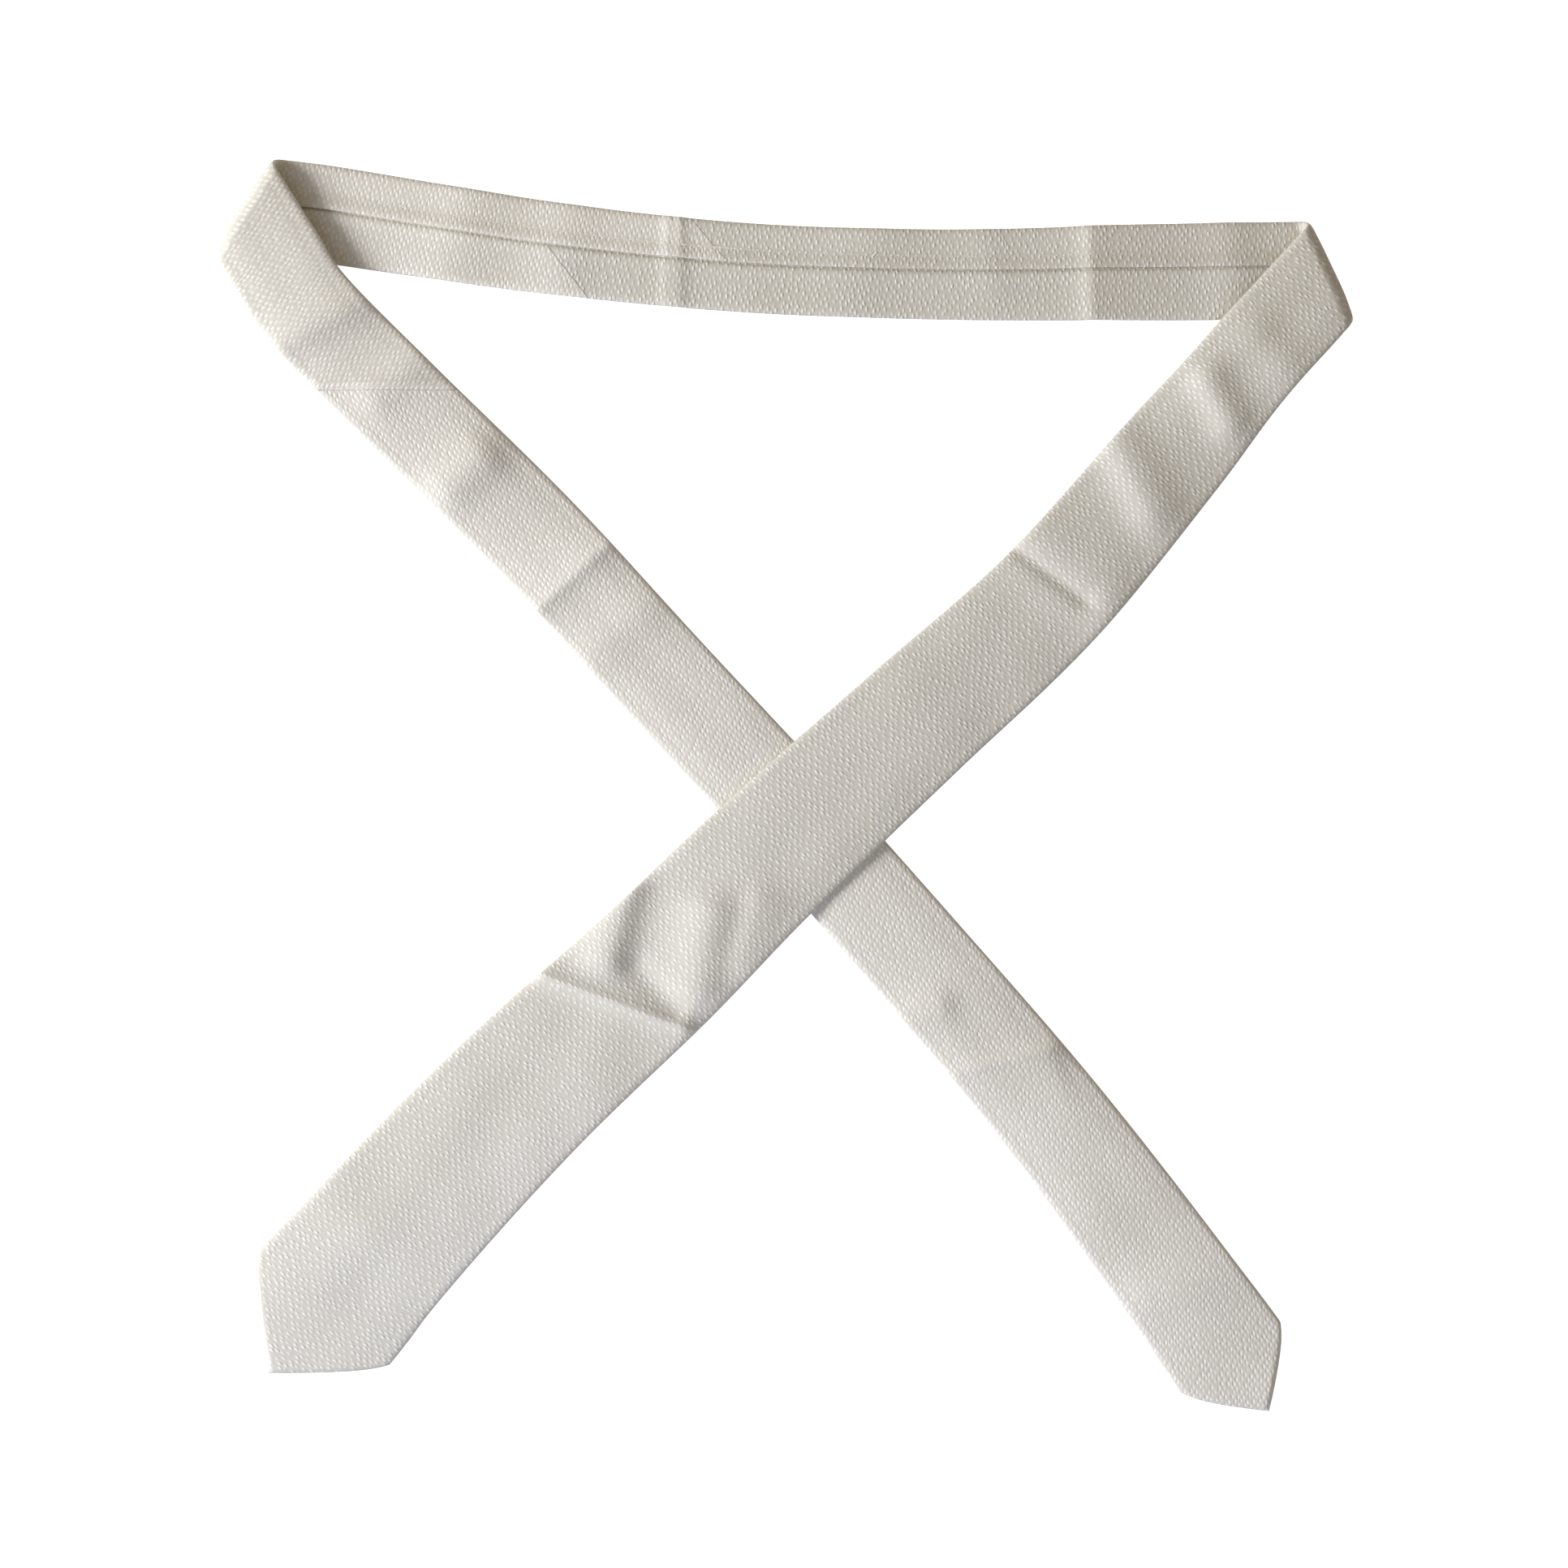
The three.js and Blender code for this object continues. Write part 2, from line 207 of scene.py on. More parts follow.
def lay(st, s, v, n):
    # where a spot of the strip lies: s along, v across, n towards the reverse side, in mm
    s, v, n = np.broadcast_arrays(np.asarray(s, float), v, n)
    x, y, z = (np.interp(s, st["s"], st["curve"][:, i]) for i in range(3))
    hx, hy = (np.interp(s, st["s"], st["heading"][:, i]) for i in range(2))
    across = v * st["side"]
    px, py = x - hy * across, y + hx * across
    low = flatZ if st["up"] > 0 else flatZ + strip["lap"]
    pz = np.maximum(z, low) + st["up"] * n + lift(st["relief"], px, py)
    for roll in st["rolls"]:
        ox, oy = roll["out"]
        past = (px - roll["tangent"][0]) * ox + (py - roll["tangent"][1]) * oy
        angle = np.clip(past / strip["roll"], 0, math.pi)
        beyond = np.maximum(past - math.pi * strip["roll"], 0)
        reach = strip["roll"] - n
        shift = reach * np.sin(angle) - beyond - past
        rolled = past > 0
        px = np.where(rolled, px + ox * shift, px)
        py = np.where(rolled, py + oy * shift, py)
        pz = np.where(rolled, rollZ - st["up"] * reach * np.cos(angle), pz)
    return np.stack([px, py, pz], -1) * mm


joins = {
    "gap": 0.12,             # half the fine gap left between two joined lengths of cloth
    "neck": 134.0,           # from the left corner
    "tail": 77.0,            # down the tail leg
}
creases = {"blade": blade["length"] - 175, "tail": tail["length"] - 155}


def fold(ax, ay, bx, by, height, left, right, ends=5, sharp=0):
    # a line across the cloth, with how fast the fold falls away to its left and right
    return {
        "line": ((ax, ay), (bx, by)), "height": height,
        "left": left, "right": right, "ends": ends, "sharp": sharp,
    }


blade["relief"] = [
    fold(-84, -67, -36, -85, 3.0, 5.0, 2.2, 5, 0.6),       # packing crease above the point
    fold(-55, -38, -61, -60, 3.0, 6.5, 10.0, 7),
    fold(-52, -64, -38, -79, -1.1, 5.0, 5.0, 4),
    fold(-25, -46, -29, -71, 2.8, 9.0, 10.0, 8),
    fold(-9, -42, -14, -62, 1.2, 9.0, 5.0, 7),
    fold(78, 92, 112, 62, 1.9, 15.0, 11.0, 12),            # swelling round the second crease
    fold(80, 83, 104, 65, -2.2, 5.5, 3.0, 6, 0.9),
    fold(118, 116, 128, 97, 3.0, 10.5, 8.0, 11),
    fold(148, 140, 155, 127, 2.6, 7.5, 6.5, 8),
    fold(166, 155, 174, 146, 1.1, 8.0, 8.0, 9),
    fold(96, 112, 88, 116, 0.9, 7.0, 7.0, 8),
    fold(-150, -160, -168, -178, 0.9, 12.0, 12.0, 14),
]
tail["relief"] = [
    fold(-174, 154, -148, 168, 1.8, 8.0, 6.0, 7),
    fold(-162, 139.6, -112, 139.6, 0.8, 2.2, 1.2, 3, 0.3),  # seam allowance under the joining seam
    fold(-117, 103, -106, 113, 2.6, 9.5, 8.5, 9),
    fold(-142, 136, -128, 148, 1.2, 8.0, 7.0, 7),
    fold(-87, 60, -58, 87, 2.1, 7.5, 4.0, 5, 0.5),
    fold(-66, 46, -48, 62, 0.9, 8.0, 8.0, 8),
    fold(-12, -14, 8, 6, 0.7, 9.0, 9.0, 9),
    fold(54, -103, 92, -93, 1.9, 3.2, 9.0, 6, 0.7),
    fold(36, -84, 54, -78, 1.4, 6.0, 7.0, 6),
    fold(128, -180, 160, -168, 0.8, 9.0, 9.0, 9),
]
neck["relief"] = [
    fold(108, 158, 107, 200, 2.2, 5.0, 22.0, 5, 0.8),
    fold(-37, 165, -36.5, 205, 0.8, 1.3, 2.0, 4, 0.4),
    fold(-41.5, 165, -40.5, 205, 0.8, 1.3, 3.5, 4, 0.4),
    fold(20, 165, 30, 195, 0.8, 15.0, 15.0, 6),
    fold(-118, 176, -108, 212, 1.1, 12.0, 14.0, 6),
    fold(-78, 172, -74, 204, 0.6, 10.0, 10.0, 6),
    fold(74, 172, 70, 196, 0.5, 8.0, 8.0, 6),
    fold(158, 165, 156, 195, 0.9, 9.0, 9.0, 6),
]


wrap = {
    "aside": 3.4, "ramp": 14, "straight": 2,      # the seam's drift on the neckband, and its ends
    "restCrown": 0.05,                            # crown where the front is what lies on the floor
    "under": 3.2, "back": 1.2,                    # the lower wrap, past the seam and short of it
    "turned": 2.0,                                # its edge where the back is open
    "crevice": (0.95, 0.45), "puff": (0.25, 3.0, 1.6),
    "short": 1.3, "turnedUnder": 4.5,             # the upper wrap's folded edge
    "opens": 3.0,                                 # opening at which the wraps no longer touch
}
drape = {"small": (7, 22, 0.22), "large": (5, 48, 0.4), "onBack": 0.4}    # seed, length, height
pointShape = {"run": 62, "bow": 2.4, "round": 2.2, "tightness": 9, "openHem": 7}


def seamShift(st, s):
    # on the neckband the folded edge lies a little towards the top edge
    if st is not neck:
        return 0 * s
    first = smooth((s - wrap["straight"]) / wrap["ramp"])
    last = smooth((neck["length"] - wrap["straight"] - s) / wrap["ramp"])
    return wrap["aside"] * first * last


def crownAt(st, along):
    # the front bulges over the interlining, but lies flat where it rests on its face
    if st is not neck:
        return strip["crown"] + 0 * along
    past = np.maximum(along - neck["length"], -along) / right["across"]
    return wrap["restCrown"] + (strip["crown"] - wrap["restCrown"]) * smooth(past)


def sectionPath(width, opening, seam, crown):
    # one row per station: the middle line of the cloth as v, n from the lower wrap to the upper
    h = strip["half"] - strip["cloth"] / 2
    lap, a, b = strip["lap"], strip["edgeFront"], strip["edgeBack"]
    half = width[:, None] / 2
    o, c = opening[:, None], seam[:, None]
    shut = np.clip(1 - o / wrap["opens"], 0, 1)        # 1 where the wraps overlap, 0 in the open back
    under, back, turned = wrap["under"], wrap["back"], wrap["turned"]
    parts = []
    t = np.linspace(0, 1, 5)[None, :-1]
    # the lower wrap's edge, tucked in under the upper one
    tucked = c - o + shut * (under - (under + back) * t) - (1 - shut) * turned * t
    parts.append((tucked, h - shut * (strip["dip"] + 0 * t)))
    t = np.linspace(0, 1, 19)[None, :-1]
    # the lower wrap out to the edge, with a crevice beside the seam and a slight puff past it
    start = c - o - shut * back - (1 - shut) * turned
    flat = -(half - b)
    t = t ** 2.2
    gone = (start - flat) * t
    wide, fades = wrap["crevice"]
    crevice = np.exp(-(np.maximum(gone - wide, 0) / fades) ** 2)
    high, at, wide = wrap["puff"]
    puff = high * np.exp(-((gone - at) / wide) ** 2)
    parts.append((start + (flat - start) * t, h + shut * (puff - strip["dip"] * crevice)))
    t = np.linspace(0, 1, 6)[None, :-1] * math.pi / 2
    # round the edge to the front, over the front, and round the other edge
    parts.append((-(half - b + b * np.sin(t)), h * np.cos(t) + 0 * half))
    parts.append((-(half - a + a * np.cos(t)), -h * np.sin(t) + 0 * half))
    t = np.linspace(-1, 1, 39)[None, :-1]
    parts.append(((half - a) * t, -h - crown[:, None] * (1 - (t * t) ** 1.5) + 0 * half))
    t = np.linspace(0, 1, 6)[None, :-1] * math.pi / 2
    parts.append(((half - a + a * np.sin(t)), -h * np.cos(t) + 0 * half))
    parts.append(((half - b + b * np.cos(t)), h * np.sin(t) + 0 * half))
    t = np.linspace(0, 1, 13)[None, :-1]
    # the upper wrap rises over the lower one and is folded under at its edge
    end = c + o - shut * wrap["short"]
    near = np.clip((t - 0.55) / 0.45, 0, 1)
    rise = lap * near * near * (3 - 2 * near)
    parts.append(((half - b) + (end - (half - b)) * t, h + shut * rise))
    t = np.linspace(0, 1, 6)[None, :-1] * math.pi
    bend = strip["bend"]
    parts.append((end - bend * np.sin(t), h + shut * lap - bend + bend * np.cos(t) + 0 * half))
    t = np.linspace(0, 1, 5)[None, :]
    parts.append((end + wrap["turnedUnder"] * t, h + shut * lap - 2 * bend + 0 * t + 0 * half))
    v = np.concatenate([p[0] + 0 * half for p in parts], 1)
    n = np.concatenate([p[1] + 0 * half for p in parts], 1)
    return v, n


def offsetPath(v, n, amount):
    dv, dn = np.gradient(v, axis=1), np.gradient(n, axis=1)
    size = np.maximum(np.hypot(dv, dn), 1e-9)
    return v - dn / size * amount, n + dv / size * amount


def fromFront(v, n):
    # distance over the cloth from the middle of the front
    step = np.hypot(np.diff(v, axis=1), np.diff(n, axis=1))
    gone = np.concatenate([np.zeros((len(v), 1)), np.cumsum(step, 1)], 1)
    centre = np.argmin(np.where(n < 0, np.abs(v), 1e9), axis=1)
    return gone - np.take_along_axis(gone, centre[:, None], 1)


def buildMesh(name, points, faces, cloth=None):
    mesh = bpy.data.meshes.new(name)
    mesh.from_pydata(points.reshape(-1, 3).tolist(), [], faces)
    mesh.polygons.foreach_set("use_smooth", [True] * len(mesh.polygons))
    if cloth is not None:
        layer = mesh.attributes.new("cloth", "FLOAT_VECTOR", "POINT")
        layer.data.foreach_set("vector", (cloth.reshape(-1, 3) * mm).astype(np.float32).ravel())
    mesh.set_sharp_from_angle(angle=math.radians(62))      # keeps the rims from shading soft
    piece = bpy.data.objects.new(name, mesh)
    bpy.context.collection.objects.link(piece)
    return piece


cuts = {}                    # by piece name: the flat cut's width, length and area, in mm


def noteCut(name, s, across):
    # s is where each row of the cloth lies, across the row's width over the cloth
    width = np.ptp(across, axis=1)
    place = s.mean(axis=1)
    area = np.sum((width[1:] + width[:-1]) / 2 * np.abs(np.diff(place)))
    cuts[name] = (width.max(), np.ptp(s), area)


def declareSheet(piece, extra=0.0):
    # extra is the area of what is turned back or joined in
    width, length, area = cuts[piece.name]
    area = min(area + extra, width * length) * mm * mm


def tubeFaces(rows, loop):
    # quads of a tube of closed loops, and strips of quads across its two ends
    i, j = np.meshgrid(np.arange(rows - 1), np.arange(loop), indexing="ij")
    k = (j + 1) % loop
    quads = np.stack([i * loop + j, i * loop + k, (i + 1) * loop + k, (i + 1) * loop + j], -1).reshape(-1, 4)
    half = loop // 2
    j = np.arange(half - 1)
    first = np.stack([j, loop - 1 - j, loop - 2 - j, j + 1], -1)
    last = (rows - 1) * loop + first[:, ::-1]
    return np.vstack([quads, first, last]).tolist()


def bothSides(along, across):
    # where each spot lies in the cloth, out over one face and back over the other
    u, w = (np.hstack([x, x[:, ::-1]]) for x in (along, across))
    return np.stack([u, w, 0 * u], -1)


def pointRun(slope, v, half):
    # how far a point's edge falls back from its tip: slightly bowed, and rounded at the corners
    q = np.clip(np.abs(v) / half, 0, 1)
    bowed = pointShape["bow"] * q * (1 - q)
    rounded = pointShape["round"] * q ** pointShape["tightness"]
    return slope * (np.abs(v) - bowed + rounded)


def pointed(slope, s, end):
    # stations turn into chevrons on their way to the point
    return slope * smooth((s - (end - pointShape["run"])) / pointShape["run"])


def wrapCloth(name, st, stations, tip=None):
    # the outer cloth, wrapped round to the back, as one closed skin
    s = stations["s"]
    width = widthAt(st, s)
    v, n = sectionPath(width, stations["open"], seamShift(st, s), crownAt(st, s))
    w = fromFront(v, n)
    along = s[:, None] + stations["skew"][:, None] * v + stations["bias"][:, None] * w
    along = along - pointRun(stations["point"][:, None], v, width[:, None] / 2)
    if tip:
        away = tip["end"] - pointRun(tip["slope"], v, width[:, None] / 2) - along
        away = np.maximum(away, 0) / math.hypot(1, tip["slope"])
        thin = np.sqrt(np.clip(1 - (1 - np.clip(away / tip["edge"], 0, 1)) ** 2, 0, 1))
        n = n * thin
    u = clothAlong(st, along)
    noteCut(name, along, w)
    free = crownAt(st, s)[:, None] / strip["crown"]
    (seed, length, height), (seed2, length2, height2) = drape["small"], drape["large"]
    soft = ripple(u, v, seed, length) * height + ripple(u, v, seed2, length2) * height2
    skins = []
    for amount in (-strip["cloth"] / 2, strip["cloth"] / 2):
        ov, on = offsetPath(v, n, amount)
        skins.append((ov, on + np.where(on < 0, soft * free, soft * drape["onBack"])))
    spots = [lay(st, along, ov, on) for ov, on in skins]
    points = np.concatenate([spots[0], spots[1][:, ::-1]], 1)
    return buildMesh(name, points, tubeFaces(*points.shape[:2]), bothSides(u, w))


def clothAlong(st, s):
    # one running length over the whole necktie, so the weave carries on round the corners
    if st is blade:
        return neck["length"] + right["across"] + s
    if st is tail:
        return -left["across"] - s
    return s


def evenly(a, b, step):
    return np.linspace(a, b, max(2, int(round(abs(b - a) / step)) + 1))


def stationsOf(s, skew=0, bias=0, point=0, opening=0):
    full = {"s": np.asarray(s, float)}
    for key, value in (("skew", skew), ("bias", bias), ("point", point), ("open", opening)):
        full[key] = np.broadcast_to(np.asarray(value, float), full["s"].shape).copy()
    return full


def joined(*parts):
    return {key: np.concatenate([p[key] for p in parts]) for key in parts[0]}


def cornerSlant(st, roll):
    # skew that lays a station parallel to the fold line
    at = 0 if st is not neck or roll is left else neck["length"]
    hx, hy = (np.interp(at, st["s"], st["heading"][:, i]) for i in range(2))
    forward = hx * roll["out"][0] + hy * roll["out"][1]
    sideways = (-hy * roll["out"][0] + hx * roll["out"][1]) * st["side"]
    return -sideways / forward


step = strip["step"]


def neckPart(fromSeam):
    # from the seam on the neckband out through one corner roll, 1 to the right and -1 to the left
    roll = right if fromSeam > 0 else left
    seam = joins["neck"] + joins["gap"] * fromSeam
    corner = neck["length"] if roll is right else 0
    past = corner + fromSeam * (roll["across"] + 1.5)
    near = evenly(seam, seam + fromSeam * 6, 0.6)
    body = evenly(seam + fromSeam * 6, corner - fromSeam * 6, step)[1:]
    bend = evenly(corner - fromSeam * 6, past, strip["fineStep"])[1:]
    s = np.concatenate([near, body, bend])
    bias = smooth(1 - np.abs(s - seam) / 85)
    slant = cornerSlant(neck, roll)
    skew = slant * smooth(1 - (np.abs(s - corner) - 10) / 40)
    skew = np.where((s - corner) * fromSeam > 0, slant, skew)
    return stationsOf(s, skew=skew, bias=bias)


def legStart(st, roll, to, seam=None):
    # from the roll down the leg, turning to the bias of a seam if there is one
    s = np.concatenate([evenly(1.5, 12, 0.8), evenly(12, to, step)[1:]])
    skew = cornerSlant(st, roll) * smooth(1 - (s - 12) / 45)
    bias = np.zeros_like(s)
    if seam is not None:
        bias = smooth(1 - (seam - s) / 50)
    return stationsOf(s, skew=skew, bias=bias)


def legEnd(p, start, seam=None):
    # down to the point, with the back opening from the bar tack on
    st, slope, end = p["st"], p["slope"], p["end"]
    s = evenly(start, end, step)
    cornerAt = end - slope * widthAt(st, end) / 2
    wide = widthAt(st, s) / 2 - pointShape["openHem"]
    opening = wide * np.clip((s - p["tack"]) / (cornerAt - p["tack"]), 0, 1)
    bias = 0 if seam is None else smooth(1 - (s - seam) / 60)
    return stationsOf(s, bias=bias, point=pointed(slope, s, end), opening=opening)


points = {                  # slope is the point's run for its half width, edge its soft rim
    "blade": {"st": blade, "slope": 0.91, "edge": 2.0, "hem": 6.5, "fromTack": 112},
    "tail": {"st": tail, "slope": 0.98, "edge": 2.0, "hem": 6.0, "fromTack": 78},
}
for p in points.values():
    p["end"] = p["st"]["length"]
    p["tack"] = p["end"] - p["fromTack"]


def cornerBlend(piece):
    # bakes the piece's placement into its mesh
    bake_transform(piece)


def creaseBlend(piece, st, at):
    middle = lay(st, np.array([at]), np.array([0.0]), np.array([0.0]))[0]
    nearby = lay(st, np.array([at + 5.0]), np.array([0.0]), np.array([0.0]))[0]
    ahead = Vector(nearby - middle)
    ahead.z = 0
    ahead.normalize()
    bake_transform(piece)


weave = {
    # the floats lie on a skewed lattice: where each row counts up along and across the cloth, per metre
    "acrossRow": (-299.0, -286.0, 0), "alongRow": (416.0, -210.0, 0),
    # a float's width and length, as how fast it ends across and along itself, in lattice steps
    "floatWide": (-1.157 / 0.82, 1.573 / 0.82, 0), "floatLong": (-2.287 / 1.55, -1.646 / 1.55, 0),
    "wander": 0.0016, "wanderScale": 70,          # the rows wander this far, in metres
    "yarn": (2600, 700, 1), "yarnShare": 0.4,     # fine streaks of the yarn on each float
    "patchScale": 26, "patch": 0.12,              # slow unevenness of tone
    "rough": (0.7, 0.36),                         # in the pits and on the floats
}


def socket(group, name, kind, way, value=None):
    made = group.interface.new_socket(name=name, in_out=way, socket_type=kind)
    if value is not None:
        made.default_value = value


def vectorMath(group, operation, first, second=None):
    made = group.nodes.new("ShaderNodeVectorMath")
    made.operation = operation
    group.links.new(first, made.inputs[0])
    if isinstance(second, tuple):
        made.inputs[1].default_value = second
    elif second is not None:
        group.links.new(second, made.inputs["Scale" if operation == "SCALE" else 1])
    return made.outputs["Value" if operation in ("DOT_PRODUCT", "LENGTH") else "Vector"]


def scalarMath(group, operation, first, second, third=None):
    made = group.nodes.new("ShaderNodeMath")
    made.operation = operation
    for i, given in enumerate((first, second, third)):
        if isinstance(given, (int, float)):
            made.inputs[i].default_value = given
        elif given is not None:
            group.links.new(given, made.inputs[i])
    return made.outputs[0]


def remap(group, value, low, high, toLow=0.0, toHigh=1.0, kind="LINEAR"):
    made = group.nodes.new("ShaderNodeMapRange")
    made.interpolation_type = kind
    for key, given in (("From Min", low), ("From Max", high), ("To Min", toLow), ("To Max", toHigh)):
        made.inputs[key].default_value = given
    group.links.new(value, made.inputs["Value"])
    return made.outputs["Result"]


def noise(group, place, scale, detail=2, output="Fac"):
    made = group.nodes.new("ShaderNodeTexNoise")
    made.inputs["Scale"].default_value = scale
    made.inputs["Detail"].default_value = detail
    group.links.new(place, made.inputs["Vector"])
    return made.outputs[output]


def weaveGroup():
    # a cloth of short bright floats between small sunken pits; its colour is painted darker in the pits as
    # shade, over a slow uneven tone of its own
    group = bpy.data.node_groups.new("floatWeave", "ShaderNodeTree")
    socket(group, "Cloth", "NodeSocketVector", "INPUT")
    socket(group, "Fineness", "NodeSocketFloat", "INPUT", 1.0)
    socket(group, "Turn", "NodeSocketFloat", "INPUT", 0.0)
    socket(group, "Irregular", "NodeSocketFloat", "INPUT", 0.5)
    socket(group, "Fullness", "NodeSocketFloat", "INPUT", 1.0)
    socket(group, "Float Color", "NodeSocketColor", "INPUT", (0.815, 0.79, 0.745, 1))
    # the colour of the pits: painted shade in the sunken spots of the weave
    socket(group, "Shaded Pit Color", "NodeSocketColor", "INPUT", (0.6, 0.56, 0.475, 1))
    socket(group, "Color", "NodeSocketColor", "OUTPUT")
    socket(group, "Height", "NodeSocketFloat", "OUTPUT")
    socket(group, "Roughness", "NodeSocketFloat", "OUTPUT")
    nodes, link = group.nodes, group.links.new
    given, result = nodes.new("NodeGroupInput"), nodes.new("NodeGroupOutput")

    turned = nodes.new("ShaderNodeVectorRotate")
    turned.rotation_type = "Z_AXIS"
    link(given.outputs["Cloth"], turned.inputs["Vector"])
    link(given.outputs["Turn"], turned.inputs["Angle"])
    uneven = noise(group, turned.outputs[0], weave["wanderScale"], 2, "Color")
    drift = vectorMath(group, "SUBTRACT", uneven, (0.5, 0.5, 0.5))
    wander = vectorMath(group, "MULTIPLY", drift, (weave["wander"],) * 3)
    wandered = vectorMath(group, "ADD", turned.outputs[0], wander)
    cloth = vectorMath(group, "SCALE", wandered, given.outputs["Fineness"])

    lattice = nodes.new("ShaderNodeCombineXYZ")
    link(vectorMath(group, "DOT_PRODUCT", cloth, weave["acrossRow"]), lattice.inputs[0])
    link(vectorMath(group, "DOT_PRODUCT", cloth, weave["alongRow"]), lattice.inputs[1])
    cell = nodes.new("ShaderNodeTexVoronoi")
    cell.voronoi_dimensions = "2D"
    cell.inputs["Scale"].default_value = 1
    link(lattice.outputs[0], cell.inputs["Vector"])
    link(given.outputs["Irregular"], cell.inputs["Randomness"])
    away = vectorMath(group, "SUBTRACT", lattice.outputs[0], cell.outputs["Position"])
    shape = nodes.new("ShaderNodeCombineXYZ")
    link(vectorMath(group, "DOT_PRODUCT", away, weave["floatWide"]), shape.inputs[0])
    link(vectorMath(group, "DOT_PRODUCT", away, weave["floatLong"]), shape.inputs[1])
    reach = vectorMath(group, "LENGTH", shape.outputs[0])
    spread = scalarMath(group, "DIVIDE", reach, given.outputs["Fullness"])
    bulge = remap(group, spread, 1.0, 0.1, kind="SMOOTHSTEP")
    own = nodes.new("ShaderNodeSeparateColor")
    link(cell.outputs["Color"], own.inputs["Color"])
    strength = remap(group, own.outputs["Red"], 0, 1, 0.4, 1.0)
    raised = scalarMath(group, "MULTIPLY", bulge, strength)

    stretch = nodes.new("ShaderNodeMapping")
    stretch.inputs["Scale"].default_value = weave["yarn"]
    link(cloth, stretch.inputs["Vector"])
    yarn = noise(group, stretch.outputs[0], 1)
    height = scalarMath(group, "MULTIPLY_ADD", yarn, weave["yarnShare"], raised)
    link(height, result.inputs["Height"])

    patches = noise(group, given.outputs["Cloth"], weave["patchScale"], 3)
    slow = remap(group, patches, 0.3, 0.7, -weave["patch"], weave["patch"])
    # painted shade: the colour darkens where the height is low, in the pits, mixed with the cloth's own slow
    # uneven tone
    pitShadeAndTone = remap(group, scalarMath(group, "ADD", height, slow), 0.0, 1.15)
    colour = nodes.new("ShaderNodeMix")
    colour.data_type = "RGBA"
    link(pitShadeAndTone, colour.inputs["Factor"])
    link(given.outputs["Shaded Pit Color"], colour.inputs["A"])
    link(given.outputs["Float Color"], colour.inputs["B"])
    link(colour.outputs["Result"], result.inputs["Color"])
    link(remap(group, pitShadeAndTone, 0, 1, *weave["rough"]), result.inputs["Roughness"])
    return group


weaveNodes = weaveGroup()


def clothMaterial(name, look):
    material = bpy.data.materials.new(name)
    material.use_nodes = True
    nodes, link = material.node_tree.nodes, material.node_tree.links.new
    shader = nodes["Principled BSDF"]
    place = nodes.new("ShaderNodeAttribute")
    place.attribute_name = "cloth"
    cloth = nodes.new("ShaderNodeGroup")
    cloth.node_tree = weaveNodes
    for key, value in look["weave"].items():
        cloth.inputs[key].default_value = value
    link(place.outputs["Vector"], cloth.inputs["Cloth"])
    bump = nodes.new("ShaderNodeBump")
    bump.inputs["Distance"].default_value = look["relief"]
    link(cloth.outputs["Height"], bump.inputs["Height"])
    link(cloth.outputs["Color"], shader.inputs["Base Color"])
    link(cloth.outputs["Roughness"], shader.inputs["Roughness"])
    link(bump.outputs["Normal"], shader.inputs["Normal"])
    shader.inputs["Specular IOR Level"].default_value = look["specular"]
    shader.inputs["Sheen Weight"].default_value = look["sheen"]
    shader.inputs["Sheen Roughness"].default_value = 0.45
    return material


silkLook = {
    "weave": {"Fineness": 1.12, "Fullness": 0.95},
    "relief": 0.19 * mm, "specular": 0.65, "sheen": 0.15,
}
paleWeave = {
    "Fineness": 1.3, "Fullness": 1.1, "Irregular": 0.4,
    "Float Color": (0.9, 0.87, 0.815, 1), "Shaded Pit Color": (0.66, 0.615, 0.53, 1),
}
neckLook = {"weave": paleWeave, "relief": 0.15 * mm, "specular": 0.6, "sheen": 0.15}
tailLook = {**neckLook, "weave": {"Turn": 1.15, **paleWeave}}
liningLook = {
    "weave": {"Fineness": 4.0, "Float Color": (0.8, 0.77, 0.71, 1), "Shaded Pit Color": (0.7, 0.66, 0.59, 1)},
    "relief": 0.04 * mm, "specular": 0.6, "sheen": 0.05,
}
woolLook = {
    "weave": {
        "Fineness": 2.2, "Irregular": 1.0,
        "Float Color": (0.8, 0.76, 0.66, 1), "Shaded Pit Color": (0.62, 0.57, 0.46, 1),
    },
    "relief": 0.15 * mm, "specular": 0.2, "sheen": 0.4,
}
threadLook = {
    "weave": {"Fineness": 3.0, "Float Color": (0.75, 0.7, 0.6, 1), "Shaded Pit Color": (0.5, 0.45, 0.36, 1)},
    "relief": 0.08 * mm, "specular": 0.4, "sheen": 0.1,
}
silk = clothMaterial("wovenSilk", silkLook)
neckSilk = clothMaterial("wovenSilkNeck", neckLook)
tailSilk = clothMaterial("wovenSilkTail", tailLook)
lining = clothMaterial("tippingLining", liningLook)
wool = clothMaterial("woolInterlining", woolLook)
thread = clothMaterial("sewingThread", threadLook)


def dress(piece, material, nodes):
    piece.data.materials.clear()
    piece.data.materials.append(material)
    if nodes:
        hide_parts(*nodes)
    return piece


neckCloth = wrapCloth("neck_cloth_shell", neck, neckPart(-1))
dress(neckCloth, neckSilk, ["neck_cloth"])
cornerBlend(neckCloth)
declareSheet(neckCloth)
bladeOnNeck = wrapCloth("blade_cloth_neck_end", neck, neckPart(1))
dress(bladeOnNeck, silk, ["blade_cloth_on_neck"])
cornerBlend(bladeOnNeck)
declareSheet(bladeOnNeck)


def pointGrid(st, slope, near, far):
    # rows that follow the slanted edges of a point, from near to far in from the edge
    q = evenly(near, far, 0.8)
    half = widthAt(st, st["length"] - slope * 15) / 2 - 0.6
    v = np.linspace(-1, 1, 61)[None, :] * half
    v = v + 0 * q[:, None]
    edge = st["length"] - pointRun(slope, v, widthAt(st, st["length"]) / 2)
    return edge - q[:, None] * math.hypot(1, slope), v, q[:, None] + 0 * v


